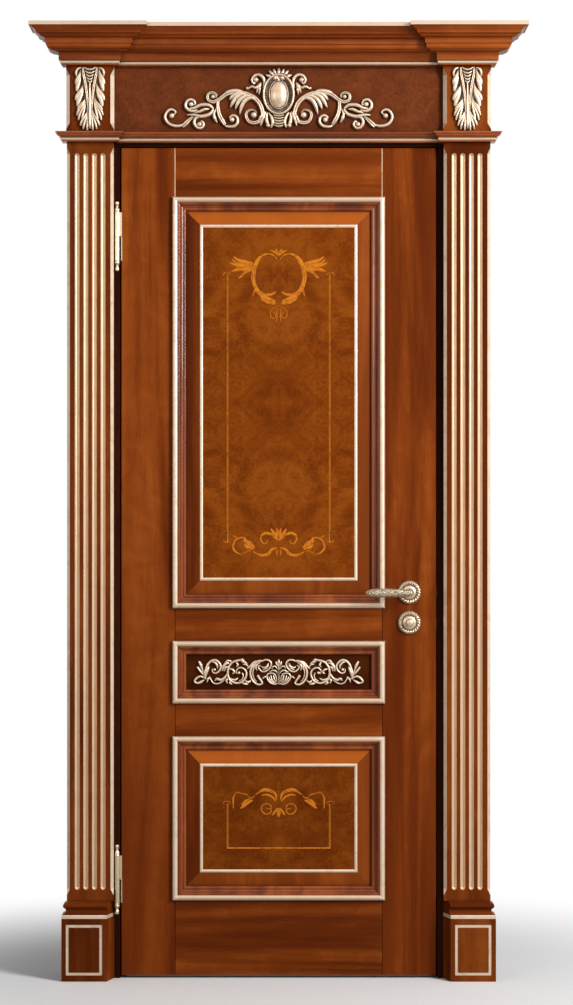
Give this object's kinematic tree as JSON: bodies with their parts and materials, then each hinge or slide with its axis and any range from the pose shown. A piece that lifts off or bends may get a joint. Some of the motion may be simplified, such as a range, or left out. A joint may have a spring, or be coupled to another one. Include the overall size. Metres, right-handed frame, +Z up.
{
  "type": "panelled interior door in a frame",
  "caption": "Hinged panelled wooden door in its frame, with fluted pilasters, crown cornice, lever handle and deadbolt.",
  "frame": {"origin": "middle of the whole door on the floor line", "axes": "+X to the right for someone facing the front, +Y away from them through the wall, +Z up"},
  "size_m": [1.249, 0.236, 2.41],
  "materials": {
    "walnut": "satin varnished walnut",
    "fluted_walnut": "satin varnish with gilded flutes",
    "plinth_walnut": "satin varnish with a gilded line",
    "plinth_moulding": "satin varnish with a gilded fillet",
    "capital_walnut": "satin varnish with gilded chamfers",
    "cornice_walnut": "satin varnish with gilded beads",
    "frieze_burl": "dark burl veneer, satin",
    "burl": "burl veneer, satin",
    "dark_panel": "dark stained, satin",
    "moulding": "satin varnish with gilded beads",
    "inlay": "light veneer inlay, satin",
    "gilt": "champagne gilding",
    "carved_gilt": "antique gilding with dark recesses",
    "polished_brass": "polished",
    "antique_brass": "antique gilt casting",
    "screw_steel": "plain",
    "seal": "matt"
  },
  "bodies": {
    "frame": {"jamb_left": "walnut", "jamb_right": "walnut", "jamb_head": "walnut", "door_stops": "walnut", "seal_strips": "seal", "casing_left": "walnut", "casing_right": "walnut", "casing_head": "walnut", "pilaster_left": "fluted_walnut", "pilaster_right": "fluted_walnut", "plinth_left": "plinth_walnut", "plinth_right": "plinth_walnut", "plinth_mouldings": "plinth_moulding", "capital_left": "capital_walnut", "capital_right": "capital_walnut", "acanthus_left": "carved_gilt", "acanthus_right": "carved_gilt", "frieze_board": "frieze_burl", "astragal_moulding": "cornice_walnut", "crown_cornice": "cornice_walnut", "cartouche": "carved_gilt", "hinge_frame_leaves": "polished_brass", "hinge_pins": "polished_brass", "frame_screws": "screw_steel", "strike_plate": "polished_brass"},
    "leaf": {"stile_hinge": "walnut", "stile_lock": "walnut", "rail_bottom": "walnut", "rail_lock_lower": "walnut", "rail_lock_upper": "walnut", "rail_top": "walnut", "panel_upper": "burl", "panel_middle": "dark_panel", "panel_lower": "burl", "moulding_upper": "moulding", "moulding_middle": "moulding", "moulding_lower": "moulding", "mouldings_back": "moulding", "field_bead_upper": "gilt", "field_bead_lower": "gilt", "inlay_lines": "inlay", "marquetry_upper": "inlay", "marquetry_lower": "inlay", "scroll_middle": "carved_gilt", "hinge_door_leaves": "polished_brass", "lock_case": "screw_steel", "lock_faceplate": "polished_brass", "leaf_screws": "screw_steel", "rosettes_front": "antique_brass", "rosettes_back": "antique_brass"},
    "lever": {"lever_front": "antique_brass", "lever_back": "antique_brass", "lever_spindle": "screw_steel", "lock_follower": "screw_steel"},
    "turn": {"thumb_turn": "antique_brass", "turn_tail": "screw_steel", "release_disc": "antique_brass"},
    "latch": {"latch_bolt": "polished_brass"},
    "deadbolt": {"deadbolt": "polished_brass"}
  },
  "joints": [
    {"name": "leaf_swing", "type": "hinge", "parent": "frame", "child": "leaf", "pos_m": [-0.41, -0.012, 0], "axis": [0, 0, -1], "range_deg": [0, 100]},
    {"name": "lever_turn", "type": "hinge", "parent": "leaf", "child": "lever", "pos_m": [0.332, 0.018, 0.98], "axis": [0, -1, 0], "range_deg": [0, 40], "stiffness_Nm_per_rad": 1.5, "springref_deg": -45.84},
    {"name": "thumb_turn", "type": "hinge", "parent": "leaf", "child": "turn", "pos_m": [0.332, 0.018, 0.903], "axis": [0, -1, 0], "range_deg": [0, 90]},
    {"name": "latch_slide", "type": "slide", "parent": "leaf", "child": "latch", "axis": [1, 0, 0], "range_m": [0, 0.01]},
    {"name": "deadbolt_slide", "type": "slide", "parent": "leaf", "child": "deadbolt", "axis": [1, 0, 0], "range_m": [0, 0.02]}
  ],
  "couplings": [
    {"joint": "thumb_turn", "follows": "deadbolt_slide", "rad_per_m": 78.531}
  ]
}
